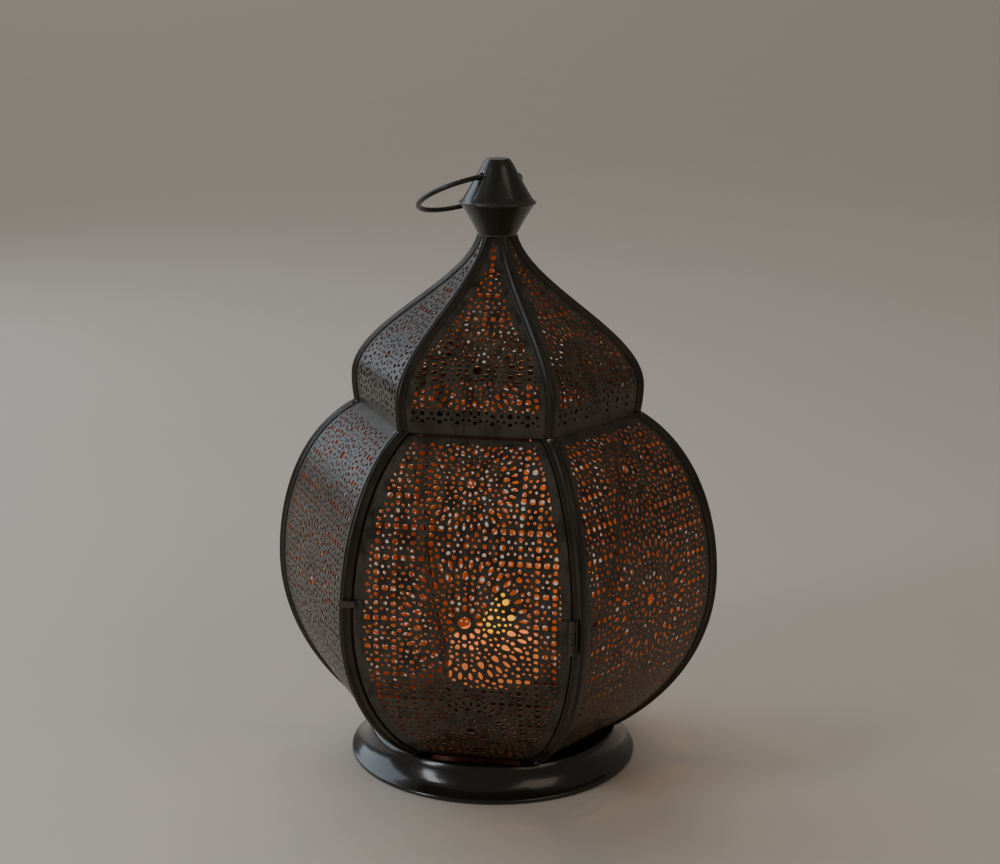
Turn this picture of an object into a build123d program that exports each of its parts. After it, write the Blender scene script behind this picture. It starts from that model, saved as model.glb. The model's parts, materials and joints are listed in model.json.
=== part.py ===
"""Hexagonal pierced-metal lantern with an onion roof, a hinged door, a hanging ring and a candle.

Millimetres. +Z is up, the origin is the centre of the foot's underside, and the door faces -Y.
Corners of the hexagon stand 30, 90 and 150 degrees either side of the door's middle.
"""

import os
from math import cos, pi, radians, sin, sqrt, tan

from build123d import *

os.makedirs("parts", exist_ok=True)

# ---- overall sizes ----
sides = 6
foot_height = 15.4
equator_height = 97.0
body_top_height = 179.0
roof_skirt_height = 12.4
roof_height = 83.8
finial_lower_height = 14.5
finial_upper_height = 21.3

# ---- corner radii of the sheet metal, measured on its outside ----
body_bottom_radius = 60.3
body_equator_radius = 110.0
body_top_radius = 70.2
roof_shoulder_radius = 71.2
roof_top_radius = 8.2
roof_eaves_setback = 0.2
lower_fullness = 0.5
upper_fullness = 0.3
ogee_bow = 0.2

# ---- sheet metal and ribs ----
sheet = 0.6
rib_sheet = 0.6
body_flange = 3.8
roof_flange = 3.0
nose_rise = 1.5
nose_width = 2.4
nose_sink = 0.3
seam_gap = 0.2
eaves_plate_thickness = 1.2
eaves_plate_inset = 0.2
eaves_plate_width = 9.0
eaves_collar_height = 8.6
head_stop_height = 3.0
head_stop_gap = 0.6

# ---- foot and floor ----
foot_radius = 72.5
foot_sheet = 1.2
foot_lip_height = 2.6
foot_lip_width = 2.4
foot_shoulder = 2.2
foot_ledge_width = 18.0
foot_flare = 2.2
floor_thickness = 1.0
floor_clearance = 0.5
rivet_radius = 1.2
rivet_head_radius = 2.2
rivet_head_height = 0.7
rivet_edge_gap = 0.4
foot_rivet_count = 3

# ---- door ----
door_free_gap = 1.2
door_hinge_gap = 0.9
door_end_gap = 1.2
door_stop_reach = 3.4
door_stop_clearance = 0.5

# ---- hinge ----
hinge_height = 15.0
knuckle_radius = 1.5
knuckle_gap = 0.2
knuckle_standoff = 0.3
hinge_relief = 0.3
leaf_sheet = 0.8
frame_leaf_reach = 2.6
door_leaf_reach = 6.0
hinge_pin_radius = 0.7
hinge_pin_clearance = 0.05
hinge_pin_head_radius = 1.1
hinge_pin_head_height = 0.5

# ---- door catch ----
catch_height = 106.5
catch_width = 3.0
catch_sheet = 0.8
catch_foot = 4.2
catch_clearance = 0.4
catch_overreach = 1.3
catch_sink = 0.1

# ---- finial and ring ----
finial_neck_radius = 9.6
finial_rim_radius = 18.1
finial_tip_radius = 6.0
finial_sheet = 0.8
finial_lip_rise = 0.5
finial_lip_height = 0.8
neck_plate_thickness = 0.8
ring_hole_height = 13.2
ring_hole_radius = 2.2
ring_radius = 25.8
ring_wire_radius = 1.25
ring_bearing = -41.0
ring_droop = 25.0

# ---- candle and its cup ----
candle_radius = 23.0
candle_height = 41.0
candle_edge = 1.2
pool_radius = 18.0
pool_depth = 2.4
pool_draft = 30.0
wick_radius = 0.8
wick_height = 6.5
wick_depth = 12.0
cup_clearance = 0.6
cup_sheet = 0.8
cup_height = 23.0
cup_brim = 6.0
cup_rivet_radius = 0.9
cup_rivet_head_radius = 1.7
cup_rivet_head_height = 0.6
cup_rivet_count = 3

# ---- derived heights ----
roof_bottom_height = body_top_height + eaves_plate_thickness
roof_shoulder_height = roof_bottom_height + roof_skirt_height
roof_top_height = roof_bottom_height + roof_height
finial_rim_height = roof_top_height + neck_plate_thickness + finial_lower_height
finial_top_height = finial_rim_height + finial_upper_height
floor_top_height = foot_height + floor_thickness
cup_floor_height = floor_top_height + cup_sheet
candle_top_height = cup_floor_height + candle_height

# ---- derived plan sizes ----
half_turn = 180 / sides
corner_ratio = cos(radians(half_turn))
corner_slope = tan(radians(half_turn))
seam = nose_width / 2 / corner_ratio + seam_gap
roof_eaves_radius = body_top_radius - roof_eaves_setback
sweep_margin = 2.0
beyond = 3 * body_equator_radius
curve_stations = 15
slope_step = 0.01
flange_start = 1.0

corner_angles = {
    "door_left": -half_turn,
    "door_right": half_turn,
    "right": 3 * half_turn,
    "back_right": 5 * half_turn,
    "back_left": -5 * half_turn,
    "left": -3 * half_turn,
}
panel_angles = {
    "front_right": 2 * half_turn,
    "back_right": 4 * half_turn,
    "back": 6 * half_turn,
    "back_left": -4 * half_turn,
    "front_left": -2 * half_turn,
}


def body_radius(height):
    """Corner radius of the body sheet, fullest at the equator."""
    if height < equator_height:
        end_radius = body_bottom_radius
        span = equator_height - foot_height
        fullness = lower_fullness
    else:
        end_radius = body_top_radius
        span = body_top_height - equator_height
        fullness = upper_fullness
    drop = 1 - (end_radius / body_equator_radius) ** (1 / fullness)
    away = (height - equator_height) / span
    return body_equator_radius * (1 - drop * away**2) ** fullness


def roof_radius(height):
    """Corner radius of the roof sheet: an ogee above a nearly upright skirt."""
    if height < roof_shoulder_height:
        down = (roof_shoulder_height - height) / roof_skirt_height
        return roof_shoulder_radius + (roof_eaves_radius - roof_shoulder_radius) * down**2
    fall = (roof_top_height - height) / (roof_top_height - roof_shoulder_height)
    wave = sin(pi / 2 * fall)
    share = (1 - ogee_bow) * wave * abs(wave) + ogee_bow * wave
    return roof_top_radius + (roof_shoulder_radius - roof_top_radius) * share


def outline(radius_at, low, high, ratio, away):
    """Points (-distance from the axis, height) of a wall line, moved outwards by away."""
    step = (high - low) / (curve_stations - 1)
    points = []
    for station in range(curve_stations):
        height = low + station * step
        rise = radius_at(height + slope_step) - radius_at(height - slope_step)
        slope = ratio * rise / (2 * slope_step)
        length = sqrt(1 + slope**2)
        distance = ratio * radius_at(height) + away / length
        points.append((-distance, height - away * slope / length))
    return points


def band(radius_at, low, high, ratio, inner, outer, half_width, sector):
    """A curved strip between two offsets of a wall line, trimmed to a plan sector and two heights."""
    inside = outline(radius_at, low - sweep_margin, high + sweep_margin, ratio, inner)
    outside = outline(radius_at, low - sweep_margin, high + sweep_margin, ratio, outer)
    with BuildPart() as strip:
        with BuildSketch(Plane.YZ):
            with BuildLine():
                Spline(*inside)
                Line(inside[-1], outside[-1])
                Spline(*reversed(outside))
                Line(outside[0], inside[0])
            make_face()
        extrude(amount=half_width, both=True)
        with BuildSketch(Plane.XY.offset(low)):
            with BuildLine():
                Polyline(*sector, close=True)
            make_face()
        extrude(amount=high - low, mode=Mode.INTERSECT)
    return strip.part


def panel_sector(left_inset, right_inset):
    """Plan of one side of the hexagon with each edge drawn in from its corner."""
    middle = (left_inset - right_inset) / 2
    tip = -(left_inset + right_inset) / (2 * corner_slope)
    wide = beyond * corner_slope
    return [(middle, tip), (wide - right_inset, -beyond), (left_inset - wide, -beyond)]


def flange_sector(near, far):
    """Plan of a strip along the right-hand corner, from near to far in from that corner."""
    wide = beyond * corner_slope
    narrow = flange_start * corner_slope
    outer = [(wide - near, -beyond), (wide - far, -beyond)]
    inner = [(narrow - far, -flange_start), (narrow - near, -flange_start)]
    return outer + inner


def nose_sector():
    """Plan of the rounded nose that stands on a corner facing -Y."""
    half = nose_width / 2
    return [(half, 0), (half, -beyond), (-half, -beyond), (-half, 0)]


def make_rib(radius_at, low, high, flange):
    """A corner rib facing -Y: two flanges folded over the corner and a raised nose along it."""
    wing = band(radius_at, low, high, corner_ratio, 0, rib_sheet, beyond / 2, flange_sector(0, flange))
    nose = band(radius_at, low, high, 1, -nose_sink, nose_rise, nose_width / 2, nose_sector())
    with BuildPart() as rib:
        add(wing, rotation=(0, 0, -half_turn))
        mirror(about=Plane.YZ)
        add(nose)
    return rib.part


def write(piece, name):
    """Label a finished piece and write it to its own file."""
    piece.label = name
    export_step(piece, f"parts/{name}.step")


# ---- foot: a flared spun dish with a rolled lip and a flat ledge that carries the body ----
foot_top_radius = body_bottom_radius + nose_rise + foot_shoulder / 2
foot_ledge_radius = foot_top_radius - foot_ledge_width
with BuildPart() as spun_foot:
    with BuildSketch(Plane.XZ):
        with BuildLine():
            lip_top = (foot_radius - foot_lip_width / 2, foot_lip_height)
            shoulder = (foot_top_radius, foot_height)
            Line((foot_radius - foot_lip_width, 0), (foot_radius - foot_lip_width / 4, 0))
            ThreePointArc(
                (foot_radius - foot_lip_width / 4, 0),
                (foot_radius, foot_lip_height / 2),
                lip_top,
            )
            middle = (
                (lip_top[0] + shoulder[0]) / 2 - foot_flare / 2,
                (lip_top[1] + shoulder[1]) / 2 - foot_flare / 2,
            )
            ThreePointArc(lip_top, middle, shoulder)
            Line(shoulder, (foot_ledge_radius, foot_height))
            Line((foot_ledge_radius, foot_height), (foot_ledge_radius, foot_height - foot_sheet))
            under_shoulder = (foot_top_radius - foot_sheet, foot_height - foot_sheet)
            Line((foot_ledge_radius, foot_height - foot_sheet), under_shoulder)
            under_middle = (middle[0] - foot_sheet, middle[1] - foot_sheet / 2)
            under_lip = (foot_radius - foot_lip_width, foot_lip_height - foot_sheet / 2)
            ThreePointArc(under_shoulder, under_middle, under_lip)
            Line(under_lip, (foot_radius - foot_lip_width, 0))
        make_face()
    revolve(axis=Axis.Z)

# ---- floor: a hexagonal plate inside the foot of the body ----
floor_radius = body_radius(foot_height) - (sheet + floor_clearance) / corner_ratio
with BuildPart() as floor_blank:
    with BuildSketch(Plane.XY.offset(foot_height)):
        RegularPolygon(floor_radius, sides)
    extrude(amount=floor_thickness)
foot_rivet_ring = foot_ledge_radius + rivet_head_radius + rivet_edge_gap
foot_rivet_places = PolarLocations(foot_rivet_ring, foot_rivet_count, start_angle=half_turn)
with BuildPart() as foot_rivets:
    with BuildSketch(Plane.XY.offset(floor_top_height)):
        with foot_rivet_places:
            Circle(rivet_head_radius)
    extrude(amount=rivet_head_height)
    with BuildSketch(Plane.XY.offset(foot_height - foot_sheet)):
        with foot_rivet_places:
            Circle(rivet_radius)
    extrude(amount=foot_sheet + floor_thickness)
    with BuildSketch(Plane.XY.offset(foot_height - foot_sheet)):
        with foot_rivet_places:
            Circle(rivet_head_radius)
    extrude(amount=-rivet_head_height)
write(foot_rivets.part, "foot_rivets")

# ---- candle cup: a deep cup with a riveted brim round its foot ----
cup_bore_radius = candle_radius + cup_clearance
cup_outer_radius = cup_bore_radius + cup_sheet
cup_brim_radius = cup_outer_radius + cup_brim
with BuildPart() as cup_blank:
    with BuildSketch(Plane.XY.offset(floor_top_height)):
        Circle(cup_brim_radius)
    extrude(amount=cup_sheet)
    with BuildSketch(Plane.XY.offset(floor_top_height)):
        Circle(cup_outer_radius)
    extrude(amount=cup_height)
    with BuildSketch(Plane.XY.offset(cup_floor_height)):
        Circle(cup_bore_radius)
    extrude(amount=cup_height, mode=Mode.SUBTRACT)
cup_rivet_ring = cup_outer_radius + cup_brim / 2
cup_rivet_places = PolarLocations(cup_rivet_ring, cup_rivet_count, start_angle=3 * half_turn)
with BuildPart() as cup_rivets:
    with BuildSketch(Plane.XY.offset(cup_floor_height)):
        with cup_rivet_places:
            Circle(cup_rivet_head_radius)
    extrude(amount=cup_rivet_head_height)
    with BuildSketch(Plane.XY.offset(foot_height)):
        with cup_rivet_places:
            Circle(cup_rivet_radius)
    extrude(amount=floor_thickness + cup_sheet)
    with BuildSketch(Plane.XY.offset(foot_height)):
        with cup_rivet_places:
            Circle(cup_rivet_head_radius)
    extrude(amount=-cup_rivet_head_height)
write(cup_rivets.part, "cup_rivets")
with BuildPart() as candle_cup:
    add(cup_blank.part)
    add(cup_rivets.part, mode=Mode.SUBTRACT)
write(candle_cup.part, "candle_cup")
with BuildPart() as floor_plate:
    add(floor_blank.part)
    add(foot_rivets.part, mode=Mode.SUBTRACT)
    add(cup_rivets.part, mode=Mode.SUBTRACT)
write(floor_plate.part, "floor_plate")
with BuildPart() as base_foot:
    add(spun_foot.part)
    add(foot_rivets.part, mode=Mode.SUBTRACT)
write(base_foot.part, "base_foot")

# ---- candle: a squat pillar with a melted pool, and its wick ----
with BuildPart() as candle_wick:
    with BuildSketch(Plane.XY.offset(candle_top_height - pool_depth - wick_depth)):
        Circle(wick_radius)
    extrude(amount=wick_depth + wick_height)
write(candle_wick.part, "candle_wick")
with BuildPart() as candle_wax:
    with BuildSketch(Plane.XY.offset(cup_floor_height)):
        Circle(candle_radius)
    extrude(amount=candle_height)
    fillet(candle_wax.edges().group_by(Axis.Z)[-1], candle_edge)
    with BuildSketch(Plane.XY.offset(candle_top_height)):
        Circle(pool_radius)
    extrude(amount=-pool_depth, mode=Mode.SUBTRACT, taper=pool_draft)
    add(candle_wick.part, mode=Mode.SUBTRACT)
write(candle_wax.part, "candle_wax")

# ---- body: five fixed panels, a door panel and six corner ribs ----
body_panel = band(
    body_radius, foot_height, body_top_height, corner_ratio, -sheet, 0, beyond / 2, panel_sector(seam, seam)
)
for place, angle in panel_angles.items():
    with BuildPart() as panel:
        add(body_panel, rotation=(0, 0, angle))
    write(panel.part, f"body_panel_{place}")

body_rib = make_rib(body_radius, foot_height, body_top_height, body_flange)
for place, angle in corner_angles.items():
    with BuildPart() as rib:
        add(body_rib, rotation=(0, 0, angle))
    write(rib.part, f"body_rib_{place}")

door_low = foot_height + floor_thickness + door_end_gap
door_high = body_top_height - door_end_gap
door_left_inset = body_flange + door_free_gap
door_right_inset = body_flange + door_hinge_gap
with BuildPart() as door_panel:
    add(
        band(
            body_radius,
            door_low,
            door_high,
            corner_ratio,
            -sheet,
            0,
            beyond / 2,
            panel_sector(door_left_inset, door_right_inset),
        )
    )
write(door_panel.part, "door_panel")

# ---- door stops: stepped strips behind the door's two long edges ----
stop_depth = sheet + door_stop_clearance
stop_root = band(
    body_radius,
    floor_top_height,
    body_top_height,
    corner_ratio,
    -stop_depth - sheet,
    0,
    beyond / 2,
    flange_sector(seam, body_flange),
)
stop_tongue = band(
    body_radius,
    floor_top_height,
    body_top_height,
    corner_ratio,
    -stop_depth - sheet,
    -stop_depth,
    beyond / 2,
    flange_sector(seam, body_flange + door_free_gap + door_stop_reach),
)
with BuildPart() as door_stop_right:
    add(stop_root)
    add(stop_tongue)
write(door_stop_right.part, "door_stop_right")
with BuildPart() as door_stop_left:
    mirror(door_stop_right.part, about=Plane.YZ)
write(door_stop_left.part, "door_stop_left")

# ---- hinge: two leaves and a pin, its upright axis just outside the door's right-hand edge ----
equator_wall = body_equator_radius * corner_ratio
equator_half_side = body_equator_radius * sin(radians(half_turn))
hinge_x = equator_half_side - body_flange - door_hinge_gap / 2
hinge_y = -(equator_wall + rib_sheet + knuckle_standoff + knuckle_radius)
hinge_low = equator_height - hinge_height / 2
knuckle_height = hinge_height / 3
relief_reach = knuckle_radius + hinge_relief
leaf_front = equator_wall + rib_sheet + leaf_sheet
with BuildPart() as hinge_leaf_frame:
    with BuildSketch(Plane.XY.offset(hinge_low)):
        with BuildLine():
            Polyline(
                (hinge_x, -equator_wall - rib_sheet),
                (hinge_x + frame_leaf_reach, -equator_wall - rib_sheet),
                (hinge_x + frame_leaf_reach, -leaf_front),
                (hinge_x, -leaf_front),
                close=True,
            )
        make_face()
        with Locations((hinge_x, hinge_y)):
            Circle(knuckle_radius)
    extrude(amount=hinge_height)
    with BuildSketch(Plane.XY.offset(hinge_low + knuckle_height - knuckle_gap)):
        with Locations((hinge_x, hinge_y)):
            Rectangle(2 * relief_reach, 2 * relief_reach + leaf_sheet)
    extrude(amount=knuckle_height + 2 * knuckle_gap, mode=Mode.SUBTRACT)
    with BuildSketch(Plane.XY.offset(hinge_low)):
        with Locations((hinge_x, hinge_y)):
            Circle(hinge_pin_radius)
    extrude(amount=hinge_height, mode=Mode.SUBTRACT)
write(hinge_leaf_frame.part, "hinge_leaf_frame")

with BuildPart() as hinge_leaf_door:
    with BuildSketch(Plane.XY.offset(hinge_low)):
        with BuildLine():
            Polyline(
                (hinge_x - relief_reach, -equator_wall),
                (hinge_x - door_leaf_reach, -equator_wall),
                (hinge_x - door_leaf_reach, -leaf_front),
                (hinge_x - relief_reach, -leaf_front),
                close=True,
            )
        make_face()
    extrude(amount=hinge_height)
    with BuildSketch(Plane.XY.offset(hinge_low + knuckle_height)):
        with BuildLine():
            Polyline(
                (hinge_x, -equator_wall - rib_sheet),
                (hinge_x - relief_reach - leaf_sheet, -equator_wall - rib_sheet),
                (hinge_x - relief_reach - leaf_sheet, -leaf_front),
                (hinge_x, -leaf_front),
                close=True,
            )
        make_face()
        with Locations((hinge_x, hinge_y)):
            Circle(knuckle_radius)
    extrude(amount=knuckle_height)
    with BuildSketch(Plane.XY.offset(hinge_low)):
        with Locations((hinge_x, hinge_y)):
            Circle(hinge_pin_radius + hinge_pin_clearance)
    extrude(amount=hinge_height, mode=Mode.SUBTRACT)
write(hinge_leaf_door.part, "hinge_leaf_door")

with BuildPart() as hinge_pin:
    with BuildSketch(Plane.XY.offset(hinge_low - hinge_pin_head_height)):
        with Locations((hinge_x, hinge_y)):
            Circle(hinge_pin_radius)
    extrude(amount=hinge_height + 2 * hinge_pin_head_height)
    with BuildSketch(Plane.XY.offset(hinge_low)):
        with Locations((hinge_x, hinge_y)):
            Circle(hinge_pin_head_radius)
    extrude(amount=-hinge_pin_head_height)
    with BuildSketch(Plane.XY.offset(hinge_low + hinge_height)):
        with Locations((hinge_x, hinge_y)):
            Circle(hinge_pin_head_radius)
    extrude(amount=hinge_pin_head_height)
write(hinge_pin.part, "hinge_pin")

# ---- door catch: a sprung tab on the door that rides over the left-hand rib ----
catch_wall = corner_ratio * body_radius(catch_height)
catch_half_side = body_radius(catch_height) * sin(radians(half_turn))
catch_edge = -(catch_half_side - door_left_inset)
nose_front = nose_rise * corner_ratio + nose_width / 2 * sin(radians(half_turn))
tongue_inside = nose_front + catch_clearance
with BuildPart() as door_catch:
    with BuildSketch(Plane.XY.offset(catch_height - catch_width / 2)):
        with BuildLine():
            Polyline(
                (catch_edge + catch_foot, catch_sink - catch_wall),
                (catch_edge + catch_clearance, catch_sink - catch_wall),
                (catch_edge + catch_clearance, -catch_wall - tongue_inside),
                (-catch_half_side - catch_overreach, -catch_wall - tongue_inside),
                (-catch_half_side - catch_overreach, -catch_wall - tongue_inside - catch_sheet),
                (catch_edge + catch_clearance + catch_sheet, -catch_wall - tongue_inside - catch_sheet),
                (catch_edge + catch_clearance + catch_sheet, -catch_wall - catch_sheet),
                (catch_edge + catch_foot, -catch_wall - catch_sheet),
                close=True,
            )
        make_face()
    extrude(amount=catch_width)
    add(door_panel.part, mode=Mode.SUBTRACT)
write(door_catch.part, "door_catch")

# ---- eaves plate: a hexagonal ring between body and roof, with a collar and the door's head stop ----
eaves_plate_radius = body_top_radius - eaves_plate_inset
eaves_hole_radius = eaves_plate_radius - eaves_plate_width
head_stop_edge = body_flange + door_free_gap + door_stop_reach + head_stop_gap
head_stop_wall = body_top_radius * corner_ratio - stop_depth - sheet / 2
head_stop_width = 2 * (head_stop_wall * corner_slope - head_stop_edge)
with BuildPart() as eaves_plate:
    with BuildSketch(Plane.XY.offset(body_top_height)):
        RegularPolygon(eaves_plate_radius, sides)
        RegularPolygon(eaves_hole_radius, sides, mode=Mode.SUBTRACT)
    extrude(amount=eaves_plate_thickness)
    with BuildSketch(Plane.XY.offset(body_top_height)):
        RegularPolygon(eaves_hole_radius + sheet / corner_ratio, sides)
        RegularPolygon(eaves_hole_radius, sides, mode=Mode.SUBTRACT)
    extrude(amount=eaves_plate_thickness + eaves_collar_height)
    with BuildSketch(Plane.XY.offset(body_top_height)):
        with Locations((0, -head_stop_wall)):
            Rectangle(head_stop_width, sheet)
    extrude(amount=-head_stop_height)
write(eaves_plate.part, "eaves_plate")

# ---- roof: six ogee panels and six ribs ----
roof_sector = panel_sector(seam, seam)
roof_panel = band(
    roof_radius, roof_bottom_height, roof_top_height, corner_ratio, -sheet, 0, beyond / 2, roof_sector
)
roof_angles = {"front": 0}
roof_angles.update(panel_angles)
for place, angle in roof_angles.items():
    with BuildPart() as panel:
        add(roof_panel, rotation=(0, 0, angle))
    write(panel.part, f"roof_panel_{place}")

roof_rib = make_rib(roof_radius, roof_bottom_height, roof_top_height, roof_flange)
for place, angle in corner_angles.items():
    with BuildPart() as rib:
        add(roof_rib, rotation=(0, 0, angle))
    write(rib.part, f"roof_rib_{place}")

# ---- neck plate: closes the roof and carries the finial ----
with BuildPart() as neck_plate:
    with BuildSketch(Plane.XY.offset(roof_top_height)):
        Circle(finial_neck_radius)
    extrude(amount=neck_plate_thickness)
write(neck_plate.part, "neck_plate")

# ---- finial: two thin cones joined at a crimped rim, the upper one pierced for the ring ----
finial_low = roof_top_height + neck_plate_thickness
upper_lean = (finial_rim_radius - finial_tip_radius) / finial_upper_height
upper_skin = finial_sheet * sqrt(1 + upper_lean**2)
lower_lean = (finial_rim_radius - finial_neck_radius) / finial_lower_height
lower_skin = finial_sheet * sqrt(1 + lower_lean**2)
with BuildPart() as finial_lower_cone:
    with BuildSketch(Plane.XZ):
        with BuildLine():
            Polyline(
                (finial_neck_radius, finial_low),
                (finial_rim_radius, finial_rim_height),
                (finial_rim_radius - lower_skin, finial_rim_height),
                (finial_neck_radius - lower_skin, finial_low),
                close=True,
            )
        make_face()
    revolve(axis=Axis.Z)
write(finial_lower_cone.part, "finial_lower_cone")

ring_axis_height = finial_rim_height + ring_hole_height
hole_radius_out = finial_rim_radius - ring_hole_height * upper_lean
lid_underside = finial_top_height - finial_sheet
lid_inner_radius = finial_tip_radius + finial_sheet * upper_lean - upper_skin
with BuildPart() as finial_upper_cone:
    with BuildSketch(Plane.XZ):
        with BuildLine():
            Polyline(
                (0, finial_top_height),
                (finial_tip_radius, finial_top_height),
                (finial_rim_radius - finial_lip_height * upper_lean, finial_rim_height + finial_lip_height),
                (finial_rim_radius + finial_lip_rise, finial_rim_height + finial_lip_height),
                (finial_rim_radius + finial_lip_rise, finial_rim_height),
                (finial_rim_radius - upper_skin, finial_rim_height),
                (lid_inner_radius, lid_underside),
                (0, lid_underside),
                close=True,
            )
        make_face()
    revolve(axis=Axis.Z)
    ring_axis_plane = Plane(
        origin=(0, 0, ring_axis_height),
        z_dir=(sin(radians(ring_bearing)), -cos(radians(ring_bearing)), 0),
    )
    with BuildSketch(ring_axis_plane):
        Circle(ring_hole_radius)
    extrude(amount=2 * finial_rim_radius, both=True, mode=Mode.SUBTRACT)
write(finial_upper_cone.part, "finial_upper_cone")

# ---- hanging ring: a wire ring through both holes, lying back on the finial ----
wall_centre_radius = hole_radius_out - upper_skin / 2
ring_offset = sqrt(ring_radius**2 - wall_centre_radius**2)
back_bearing = radians(ring_bearing - 90)
lean = radians(ring_droop)
ring_out = (sin(back_bearing) * cos(lean), -cos(back_bearing) * cos(lean), -sin(lean))
ring_plane = Plane(
    origin=tuple(c * ring_offset + o for c, o in zip(ring_out, (0, 0, ring_axis_height))),
    x_dir=ring_out,
    z_dir=(sin(back_bearing) * sin(lean), -cos(back_bearing) * sin(lean), cos(lean)),
)
with BuildPart() as hanging_ring:
    with Locations(ring_plane):
        Torus(ring_radius, ring_wire_radius)
write(hanging_ring.part, "hanging_ring")

print("ring axis height", round(ring_axis_height, 3), "hinge at", round(hinge_x, 3), round(hinge_y, 3))
print("total height", round(finial_top_height, 3))
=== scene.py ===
"""The lit hexagonal lantern: pierced sheets, folded ribs, spun foot and finial, candle and flame.

Metres, in the frame's own axes: +Z up, the foot's underside at z = 0, the door facing -Y.
"""

import json
import random
from math import ceil, cos, hypot, pi, radians, sin, tan

import bmesh
import bpy
from mathutils import Matrix, Vector, noise
from mathutils.geometry import delaunay_2d_cdt


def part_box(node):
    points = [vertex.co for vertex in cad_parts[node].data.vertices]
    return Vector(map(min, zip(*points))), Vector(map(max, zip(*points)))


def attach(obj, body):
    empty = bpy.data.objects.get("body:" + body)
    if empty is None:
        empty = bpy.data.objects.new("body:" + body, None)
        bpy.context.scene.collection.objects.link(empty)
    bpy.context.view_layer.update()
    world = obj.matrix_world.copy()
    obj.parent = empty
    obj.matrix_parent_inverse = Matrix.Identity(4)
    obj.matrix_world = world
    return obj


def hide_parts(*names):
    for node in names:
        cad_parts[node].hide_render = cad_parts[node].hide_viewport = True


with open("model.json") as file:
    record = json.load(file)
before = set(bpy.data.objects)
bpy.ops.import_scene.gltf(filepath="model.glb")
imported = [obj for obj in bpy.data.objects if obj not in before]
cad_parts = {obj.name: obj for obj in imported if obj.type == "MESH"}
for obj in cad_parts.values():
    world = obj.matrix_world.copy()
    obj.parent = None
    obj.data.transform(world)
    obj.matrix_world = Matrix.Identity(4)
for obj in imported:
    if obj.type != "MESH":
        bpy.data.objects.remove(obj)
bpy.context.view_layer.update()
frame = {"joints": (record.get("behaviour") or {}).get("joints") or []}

MM = 0.001
SIDES = 6
HALF_TURN = radians(180 / SIDES)
FLATNESS = cos(HALF_TURN)

# ---- sizes taken from the frame ----
foot_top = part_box("body_panel_back")[0].z
body_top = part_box("body_panel_back")[1].z
equator_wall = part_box("body_panel_back")[1].y
roof_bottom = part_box("roof_panel_back")[0].z
roof_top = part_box("roof_panel_back")[1].z
roof_shoulder_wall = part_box("roof_panel_back")[1].y
door_low, door_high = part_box("door_panel")[0].z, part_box("door_panel")[1].z
foot_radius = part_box("base_foot")[1].x
ring_joint = next(j for j in frame["joints"] if j["name"] == "ring_hinge")

# ---- the sheet metal's own sizes, as the lantern is made ----
body_equator_radius = equator_wall / FLATNESS
body_bottom_radius = 60.3 * MM
body_top_radius = 70.2 * MM
equator_height = 97.0 * MM
lower_fullness = 0.5
upper_fullness = 0.3
roof_shoulder_radius = roof_shoulder_wall / FLATNESS
roof_eaves_radius = 70.0 * MM
roof_top_radius = 8.2 * MM
roof_shoulder_height = roof_bottom + 12.4 * MM
ogee_bow = 0.2
sheet = 0.6 * MM
rib_sheet = 0.6 * MM
body_flange = 3.8 * MM
roof_flange = 3.0 * MM
nose_rise = 1.5 * MM
nose_half = 1.2 * MM
seam = nose_half / FLATNESS + 0.2 * MM
door_left_inset = body_flange + 1.2 * MM
door_right_inset = body_flange + 0.9 * MM

corner_turns = {
    "door_left": -HALF_TURN,
    "door_right": HALF_TURN,
    "right": 3 * HALF_TURN,
    "back_right": 5 * HALF_TURN,
    "back_left": -5 * HALF_TURN,
    "left": -3 * HALF_TURN,
}
panel_turns = {
    "front_right": 2 * HALF_TURN,
    "back_right": 4 * HALF_TURN,
    "back": 6 * HALF_TURN,
    "back_left": -4 * HALF_TURN,
    "front_left": -2 * HALF_TURN,
}


# ---- Finishes ----


class Flow:
    """A shader socket that Python arithmetic can be written on."""

    def __init__(self, finish, socket):
        self.finish = finish
        self.socket = socket

    def math(self, operation, *values):
        return self.finish.node("ShaderNodeMath", {"operation": operation}, dict(enumerate(values)))

    def __add__(self, other):
        return self.math("ADD", self, other)

    def __mul__(self, other):
        return self.math("MULTIPLY", self, other)

    __radd__ = __add__
    __rmul__ = __mul__

    def ease(self, low, high):
        """0 below low, 1 above high, smooth between."""
        return self.finish.node(
            "ShaderNodeMapRange",
            {"interpolation_type": "SMOOTHSTEP"},
            {"Value": self, "From Min": low, "From Max": high},
        )


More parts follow.
